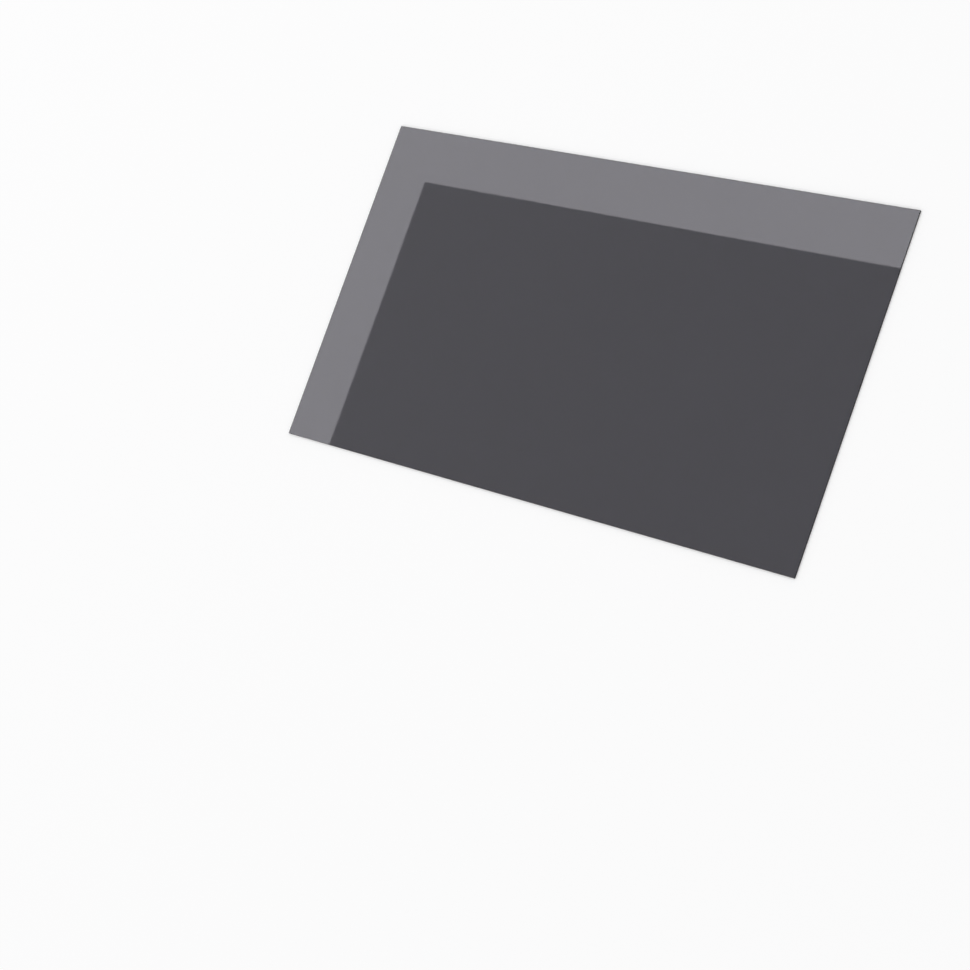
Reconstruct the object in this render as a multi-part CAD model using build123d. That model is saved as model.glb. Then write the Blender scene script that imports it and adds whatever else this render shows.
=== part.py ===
from build123d import *
import os

# Driving dimensions, in millimetres
sheet_width = 345.0  # along X, cut for a 15.6 inch viewing area with sides of 16 to 9
sheet_height = 194.0  # along Y
sheet_thickness = 0.8  # along Z
corner_radius = 0.2  # corners of the cutting die, square but for the blade's own bend
entry_roll_radius = 0.08  # the blade pulls the arris of the viewing face down a little
exit_break = 0.04  # the blade leaves the back face with a fine, nearly sharp break


def filter_sheet():
    """The whole filter: one flat sheet that lies on its back face, with its viewing face up."""
    with BuildPart() as sheet:
        with BuildSketch(Plane.XY):
            RectangleRounded(sheet_width, sheet_height, corner_radius)
        extrude(amount=sheet_thickness)

        viewing_face = sheet.faces().sort_by(Axis.Z)[-1]
        fillet(viewing_face.edges(), radius=entry_roll_radius)

        back_face = sheet.faces().sort_by(Axis.Z)[0]
        chamfer(back_face.edges(), length=exit_break)
    return sheet.part


os.makedirs("parts", exist_ok=True)
export_step(filter_sheet(), "parts/filter_sheet.step")
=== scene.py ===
import math

import bpy
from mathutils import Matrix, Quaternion, Vector


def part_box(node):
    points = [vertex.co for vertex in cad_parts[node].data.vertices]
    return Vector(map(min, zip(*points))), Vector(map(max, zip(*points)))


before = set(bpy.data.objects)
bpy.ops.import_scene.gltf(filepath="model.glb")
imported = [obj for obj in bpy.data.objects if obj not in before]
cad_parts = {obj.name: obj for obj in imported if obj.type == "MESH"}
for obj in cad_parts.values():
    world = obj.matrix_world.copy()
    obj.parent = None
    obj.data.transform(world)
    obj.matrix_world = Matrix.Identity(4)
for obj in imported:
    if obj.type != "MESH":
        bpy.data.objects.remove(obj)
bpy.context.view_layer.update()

SHEET_NODE = "filter_sheet"
WHITE = (1.0, 1.0, 1.0, 1.0)
WHITE_LEVEL = 1.0
FULL_RANGE = (0.0, 1.0)

# The floor, in metres
FLOOR_SIDE = 40.0
FLOOR_GAP = 0.0001  # the floor lies this far under the sheet, so that no two faces share a plane
FLOOR_COLOUR = (0.97, 0.97, 0.97, 1.0)

# The camera, which stands to the sheet as it does in the photograph, in metres
CAMERA_PLACE = Vector((0.6813, -0.1968, 0.9410))
CAMERA_AIM = Vector((-0.0252, -0.0946, 0.0002))
CAMERA_ROLL = math.radians(-63.757)
LINE_OF_SIGHT = (0.0, 0.0, 1.0)  # the camera's own axis, which it rolls about
SENSOR_WIDTH_MM = 36.0
LENS_MM = 80.666

# The light: an even fill, and two softboxes that the camera sees mirrored in the sheet, in metres
FILL_LEVEL = 0.93
SOFTBOX_HEIGHT = 6.0
SOFTBOX_LEVELS = (2.38, 2.77)  # how bright they are beside a white surface, at the sheet's left and right
SOFTBOX_COLOUR = (0.975, 0.965, 1.0)  # a little cooler than the fill
LEFT_SHEEN = 0.0325  # width of the sheen along the sheet's left
TOP_SHEEN = 0.031  # and along its top
SHEEN_OVERHANG = 0.15  # how far the mirrored softboxes reach past the sheet's sides

# The film
FILM_IOR = 1.5
FILM_CLEARNESS = 1.0
FILM_TINT = (0.219, 0.213, 0.246, 1.0)  # what one crossing of the whole sheet lets through
FILM_TINT_DEEP = (0.211, 0.205, 0.238, 1.0)  # and where the film is a little darker
TINT_PATCHES_PER_METRE = 18.0
TINT_DETAIL = 3.0
GRAIN_PER_METRE = 4000.0
GRAIN_DETAIL = 2.0
GRAIN_BUMP = 0.005  # how much of the grain's height shows, from none at 0 to all at 1
GRAIN_HEIGHT = 0.00002  # in metres
FILM_ROUGHNESS = (0.006, 0.011)  # from the hollows of the grain to its tops

# The cut edge
EDGE_COLOUR = (0.005, 0.005, 0.0055, 1.0)
EDGE_MARK_COLOUR = (0.018, 0.018, 0.020, 1.0)
EDGE_MARKS_PER_METRE = 1200.0
EDGE_MARK_DETAIL = 2.0
EDGE_MARK_RANGE = (0.45, 0.70)  # part of the noise that goes from plain edge to blade mark
ALONG_EDGE = (1.0, 1.0, 0.0)  # leaves out the height, so that each mark stands upright
EDGE_TO_FACE = (0.9, 0.995)  # upward part of the normal, from all cut edge to all face


class Nodes:
    """A short way to add and join the nodes of one tree."""

    def __init__(self, tree):
        self.tree = tree
        tree.nodes.clear()

    def add(self, kind, **values):
        node = self.tree.nodes.new(kind)
        for name, value in values.items():
            setattr(node, name, value)
        return node

    def join(self, output, target):
        self.tree.links.new(output, target)

    def noise(self, place, scale, detail):
        node = self.add("ShaderNodeTexNoise")
        node.inputs["Scale"].default_value = scale
        node.inputs["Detail"].default_value = detail
        self.join(place, node.inputs["Vector"])
        return node.outputs["Fac"]

    def blend(self, factor, low, high):
        """The colour low where the factor is 0, and high where it is 1."""
        node = self.add("ShaderNodeMix", data_type="RGBA")
        node.inputs["A"].default_value = low
        node.inputs["B"].default_value = high
        self.join(factor, node.inputs["Factor"])
        return node.outputs["Result"]

    def ranged(self, value, from_range, to_range=FULL_RANGE):
        """The value, stretched from one range to the other."""
        node = self.add("ShaderNodeMapRange")
        node.inputs["From Min"].default_value = from_range[0]
        node.inputs["From Max"].default_value = from_range[1]
        node.inputs["To Min"].default_value = to_range[0]
        node.inputs["To Max"].default_value = to_range[1]
        self.join(value, node.inputs["Value"])
        return node.outputs["Result"]


def face_shader(nodes, place):
    """Smooth, clear, dark film with a faintly uneven tint and hardly any grain."""
    film = nodes.add("ShaderNodeBsdfPrincipled")
    film.inputs["IOR"].default_value = FILM_IOR
    film.inputs["Transmission Weight"].default_value = FILM_CLEARNESS

    patches = nodes.noise(place, TINT_PATCHES_PER_METRE, TINT_DETAIL)
    nodes.join(nodes.blend(patches, FILM_TINT_DEEP, FILM_TINT), film.inputs["Base Color"])

    grain = nodes.noise(place, GRAIN_PER_METRE, GRAIN_DETAIL)
    nodes.join(nodes.ranged(grain, FULL_RANGE, FILM_ROUGHNESS), film.inputs["Roughness"])
    bump = nodes.add("ShaderNodeBump")
    bump.inputs["Strength"].default_value = GRAIN_BUMP
    bump.inputs["Distance"].default_value = GRAIN_HEIGHT
    nodes.join(grain, bump.inputs["Height"])
    nodes.join(bump.outputs["Normal"], film.inputs["Normal"])
    return film.outputs["BSDF"]


def edge_shader(nodes, place):
    """The matt, nearly black cut edge, with the fine upright marks that the blade left."""
    along = nodes.add("ShaderNodeVectorMath", operation="MULTIPLY")
    along.inputs[1].default_value = ALONG_EDGE
    nodes.join(place, along.inputs[0])
    noise = nodes.noise(along.outputs["Vector"], EDGE_MARKS_PER_METRE, EDGE_MARK_DETAIL)
    marks = nodes.ranged(noise, EDGE_MARK_RANGE)

    edge = nodes.add("ShaderNodeBsdfDiffuse")
    nodes.join(nodes.blend(marks, EDGE_COLOUR, EDGE_MARK_COLOUR), edge.inputs["Color"])
    return edge.outputs["BSDF"]


def film_material():
    """Film on the two faces, and its cut edge where the surface turns sideways."""
    material = bpy.data.materials.new("tinted_film")
    material.use_nodes = True
    nodes = Nodes(material.node_tree)
    place = nodes.add("ShaderNodeTexCoord")
    facing = nodes.add("ShaderNodeSeparateXYZ")
    nodes.join(place.outputs["Normal"], facing.inputs[0])
    upward = nodes.add("ShaderNodeMath", operation="ABSOLUTE")
    nodes.join(facing.outputs["Z"], upward.inputs[0])

    whole = nodes.add("ShaderNodeMixShader")
    nodes.join(nodes.ranged(upward.outputs[0], EDGE_TO_FACE), whole.inputs["Fac"])
    nodes.join(edge_shader(nodes, place.outputs["Object"]), whole.inputs[1])
    nodes.join(face_shader(nodes, place.outputs["Object"]), whole.inputs[2])
    output = nodes.add("ShaderNodeOutputMaterial")
    nodes.join(whole.outputs["Shader"], output.inputs["Surface"])
    return material


def floor_material():
    material = bpy.data.materials.new("floor_white")
    material.use_nodes = True
    nodes = Nodes(material.node_tree)
    lit = nodes.add("ShaderNodeBsdfDiffuse")
    lit.inputs["Color"].default_value = FLOOR_COLOUR
    output = nodes.add("ShaderNodeOutputMaterial")
    nodes.join(lit.outputs["BSDF"], output.inputs["Surface"])
    return material


def make_floor():
    half = FLOOR_SIDE / 2
    corners = [(-half, -half, 0), (half, -half, 0), (half, half, 0), (-half, half, 0)]
    mesh = bpy.data.meshes.new("floor")
    mesh.from_pydata(corners, [], [(0, 1, 2, 3)])
    floor = bpy.data.objects.new("floor", mesh)
    floor.location.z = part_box(SHEET_NODE)[0].z - FLOOR_GAP
    floor.data.materials.append(floor_material())
    bpy.context.scene.collection.objects.link(floor)


def make_world():
    """White all round to the camera, gloss and glass, and a plain fill light to the rest."""
    world = bpy.data.worlds.new("studio")
    world.use_nodes = True
    nodes = Nodes(world.node_tree)
    path = nodes.add("ShaderNodeLightPath")
    clear = nodes.add("ShaderNodeMath", operation="MAXIMUM")
    nodes.join(path.outputs["Is Glossy Ray"], clear.inputs[0])
    nodes.join(path.outputs["Is Transmission Ray"], clear.inputs[1])
    seen = nodes.add("ShaderNodeMath", operation="MAXIMUM")
    nodes.join(path.outputs["Is Camera Ray"], seen.inputs[0])
    nodes.join(clear.outputs[0], seen.inputs[1])

    sky = nodes.add("ShaderNodeBackground")
    sky.inputs["Color"].default_value = WHITE
    strength = nodes.ranged(seen.outputs[0], FULL_RANGE, (FILL_LEVEL, WHITE_LEVEL))
    nodes.join(strength, sky.inputs["Strength"])
    output = nodes.add("ShaderNodeOutputWorld")
    nodes.join(sky.outputs["Background"], output.inputs["Surface"])
    bpy.context.scene.world = world


def grade_softbox(lamp, sides):
    """Brighten a softbox to the right, where the sheet is seen more steeply and mirrors less of it."""
    lamp.use_nodes = True
    nodes = Nodes(lamp.node_tree)
    surface = nodes.add("ShaderNodeNewGeometry")
    place = nodes.add("ShaderNodeSeparateXYZ")
    nodes.join(surface.outputs["Position"], place.inputs[0])
    glow = nodes.add("ShaderNodeEmission")
    nodes.join(nodes.ranged(place.outputs["X"], sides, SOFTBOX_LEVELS), glow.inputs["Strength"])
    output = nodes.add("ShaderNodeOutputLight")
    nodes.join(glow.outputs["Emission"], output.inputs["Surface"])


def make_softbox(name, low, high):
    """A softbox hung face down, which the camera sees mirrored from low to high in the sheet."""
    mirrored_eye = Vector((CAMERA_PLACE.x, CAMERA_PLACE.y, 2 * low.z - CAMERA_PLACE.z))
    reach = (SOFTBOX_HEIGHT - mirrored_eye.z) / (low.z - mirrored_eye.z)
    lamp = bpy.data.lights.new(name, "AREA")
    lamp.shape = "RECTANGLE"
    lamp.size = (high.x - low.x) * reach
    lamp.size_y = (high.y - low.y) * reach
    lamp.energy = math.pi * lamp.size * lamp.size_y  # as bright as a white surface, before the grade
    lamp.color = SOFTBOX_COLOUR
    # The places along X that the camera sees mirrored at the sheet's left and right sides
    sides = [mirrored_eye.x + (corner.x - mirrored_eye.x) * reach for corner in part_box(SHEET_NODE)]
    grade_softbox(lamp, sides)
    softbox = bpy.data.objects.new(name, lamp)
    softbox.location = mirrored_eye + ((low + high) / 2 - mirrored_eye) * reach
    bpy.context.scene.collection.objects.link(softbox)


def make_softboxes():
    """Two softboxes that meet in an L, so that a sheen lies along the sheet's left and top."""
    sheet_low, sheet_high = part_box(SHEET_NODE)
    left = sheet_low.x - SHEEN_OVERHANG
    right = sheet_high.x + SHEEN_OVERHANG
    bottom = sheet_low.y - SHEEN_OVERHANG
    top = sheet_high.y + SHEEN_OVERHANG
    inner_left = sheet_low.x + LEFT_SHEEN
    inner_top = sheet_high.y - TOP_SHEEN
    face = sheet_high.z
    make_softbox("left_softbox", Vector((left, bottom, face)), Vector((inner_left, top, face)))
    make_softbox("top_softbox", Vector((inner_left, inner_top, face)), Vector((right, top, face)))


def make_camera():
    data = bpy.data.cameras.new("camera")
    data.sensor_width = SENSOR_WIDTH_MM
    data.lens = LENS_MM
    camera = bpy.data.objects.new("camera", data)
    camera.location = CAMERA_PLACE
    camera.rotation_mode = "QUATERNION"
    level = (CAMERA_AIM - CAMERA_PLACE).to_track_quat("-Z", "Y")
    camera.rotation_quaternion = level @ Quaternion(LINE_OF_SIGHT, CAMERA_ROLL)
    bpy.context.scene.collection.objects.link(camera)
    bpy.context.scene.camera = camera


bpy.context.scene.view_settings.view_transform = "Standard"
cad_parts[SHEET_NODE].material_slots[0].material = film_material()
make_floor()
make_world()
make_softboxes()
make_camera()
